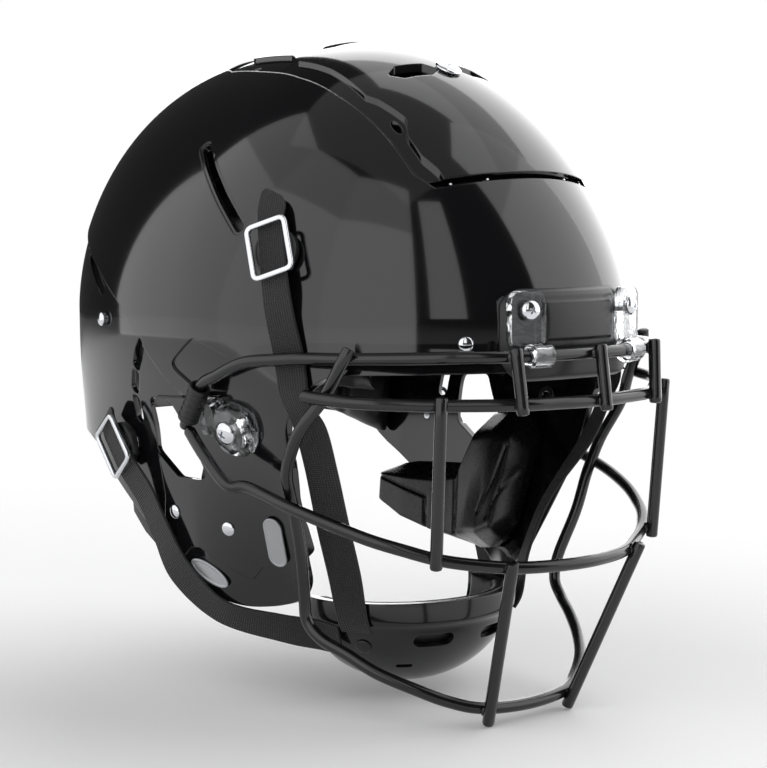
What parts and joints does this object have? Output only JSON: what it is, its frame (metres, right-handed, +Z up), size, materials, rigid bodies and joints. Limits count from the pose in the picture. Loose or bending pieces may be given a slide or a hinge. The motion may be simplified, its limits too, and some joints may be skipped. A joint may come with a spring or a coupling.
{
  "type": "football helmet",
  "caption": "Gridiron football helmet: hard shell with floating crown plate, bolted wire face guard, inner pads, and a hard chin cup on snap straps.",
  "frame": {"origin": "middle of the footprint of the whole helmet, on the ground plane under the face guard", "axes": "+Z up, -Y is the way the wearer faces, +X is the wearer's left"},
  "size_m": [0.245, 0.336, 0.3182],
  "materials": {
    "shell_gloss": "polished",
    "cup_gloss": "polished",
    "bumper_satin": "satin",
    "guard_coating": "semi-gloss powder coat",
    "clip_clear": "clear polycarbonate",
    "hardware_chrome": "polished",
    "pad_foam": "soft satin",
    "cap_plastic": "satin",
    "webbing": "woven",
    "badge_silver": "satin"
  },
  "bodies": {
    "helmet": {"shell": "shell_gloss", "plate_cushions": "pad_foam", "badge_screw": "hardware_chrome", "plate_pins": "hardware_chrome", "brow_bumper": "bumper_satin", "rear_bumper": "bumper_satin", "upper_brow_bar": "guard_coating", "lower_brow_bar": "guard_coating", "mouth_bar": "guard_coating", "chin_bar": "guard_coating", "brow_struts": "guard_coating", "eye_guards": "guard_coating", "chin_struts": "guard_coating", "bar_sleeves": "bumper_satin", "brow_clip_left": "clip_clear", "brow_clip_right": "clip_clear", "brow_screws": "hardware_chrome", "side_clip_left": "clip_clear", "side_clip_right": "clip_clear", "side_screws": "hardware_chrome", "clip_nuts": "hardware_chrome", "front_pad": "pad_foam", "crown_pad": "pad_foam", "side_pad_left": "pad_foam", "side_pad_right": "pad_foam", "rear_pad": "pad_foam", "nape_pad": "pad_foam", "neck_pad_left": "pad_foam", "neck_pad_right": "pad_foam", "jaw_pad_left": "pad_foam", "jaw_pad_right": "pad_foam", "jaw_pad_snaps": "hardware_chrome", "upper_strap_left": "webbing", "upper_strap_right": "webbing", "lower_strap_left": "webbing", "lower_strap_right": "webbing", "snap_studs": "hardware_chrome", "shell_rivets": "hardware_chrome", "side_badges": "badge_silver"},
    "crown_panel": {"crown_plate": "shell_gloss"},
    "cup": {"chin_cup": "cup_gloss", "chin_cup_liner": "pad_foam", "cup_rivets": "cap_plastic"},
    "upper_cap_body_left": {"upper_cap_left": "cap_plastic"},
    "upper_buckle_left": {"upper_frame_left": "hardware_chrome"},
    "upper_cap_body_right": {"upper_cap_right": "cap_plastic"},
    "upper_buckle_right": {"upper_frame_right": "hardware_chrome"},
    "lower_cap_body_left": {"lower_cap_left": "cap_plastic"},
    "lower_buckle_left": {"lower_frame_left": "hardware_chrome"},
    "lower_cap_body_right": {"lower_cap_right": "cap_plastic"},
    "lower_buckle_right": {"lower_frame_right": "hardware_chrome"}
  },
  "joints": [
    {"name": "plate_press", "type": "slide", "parent": "helmet", "child": "crown_panel", "axis": [0, 0, 1], "range_m": [-0.0015, 0], "stiffness_N_per_m": 20000, "deforming": ["plate_cushions"]},
    {"name": "cup_swing", "type": "hinge", "parent": "helmet", "child": "cup", "pos_m": [0, -0.07209, 0.152], "axis": [1, 0, 0], "range_deg": [-6, 6], "stiffness_Nm_per_rad": 4, "deforming": ["upper_strap_left", "upper_strap_right", "lower_strap_left", "lower_strap_right"]},
    {"name": "upper_cap_swivel_left", "type": "hinge", "parent": "helmet", "child": "upper_cap_body_left", "pos_m": [0.09974, -0.05809, 0.217], "axis": [0.8933, -0.3262, 0.3091], "range_deg": [-12, 12], "deforming": ["upper_strap_left"]},
    {"name": "upper_buckle_flip_left", "type": "hinge", "parent": "upper_cap_body_left", "child": "upper_buckle_left", "pos_m": [0.11022, -0.06638, 0.20902], "axis": [0.4216, 0.8464, -0.3253], "range_deg": [0, 60]},
    {"name": "upper_cap_swivel_right", "type": "hinge", "parent": "helmet", "child": "upper_cap_body_right", "pos_m": [-0.09974, -0.05809, 0.217], "axis": [-0.8933, -0.3262, 0.3091], "range_deg": [-12, 12], "deforming": ["upper_strap_right"]},
    {"name": "upper_buckle_flip_right", "type": "hinge", "parent": "upper_cap_body_right", "child": "upper_buckle_right", "pos_m": [-0.11022, -0.06638, 0.20902], "axis": [0.4216, -0.8464, 0.3253], "range_deg": [0, 60]},
    {"name": "lower_cap_swivel_left", "type": "hinge", "parent": "helmet", "child": "lower_cap_body_left", "pos_m": [0.10132, 0.05591, 0.122], "axis": [0.9914, 0.1023, -0.0815], "range_deg": [-12, 12], "deforming": ["lower_strap_left"]},
    {"name": "lower_buckle_flip_left", "type": "hinge", "parent": "lower_cap_body_left", "child": "lower_buckle_left", "pos_m": [0.11083, 0.04931, 0.1116], "axis": [-0.1307, 0.7787, -0.6136], "range_deg": [0, 60]},
    {"name": "lower_cap_swivel_right", "type": "hinge", "parent": "helmet", "child": "lower_cap_body_right", "pos_m": [-0.10132, 0.05591, 0.122], "axis": [-0.9914, 0.1023, -0.0815], "range_deg": [-12, 12], "deforming": ["lower_strap_right"]},
    {"name": "lower_buckle_flip_right", "type": "hinge", "parent": "lower_cap_body_right", "child": "lower_buckle_right", "pos_m": [-0.11083, 0.04931, 0.1116], "axis": [-0.1307, -0.7787, 0.6136], "range_deg": [0, 60]}
  ]
}
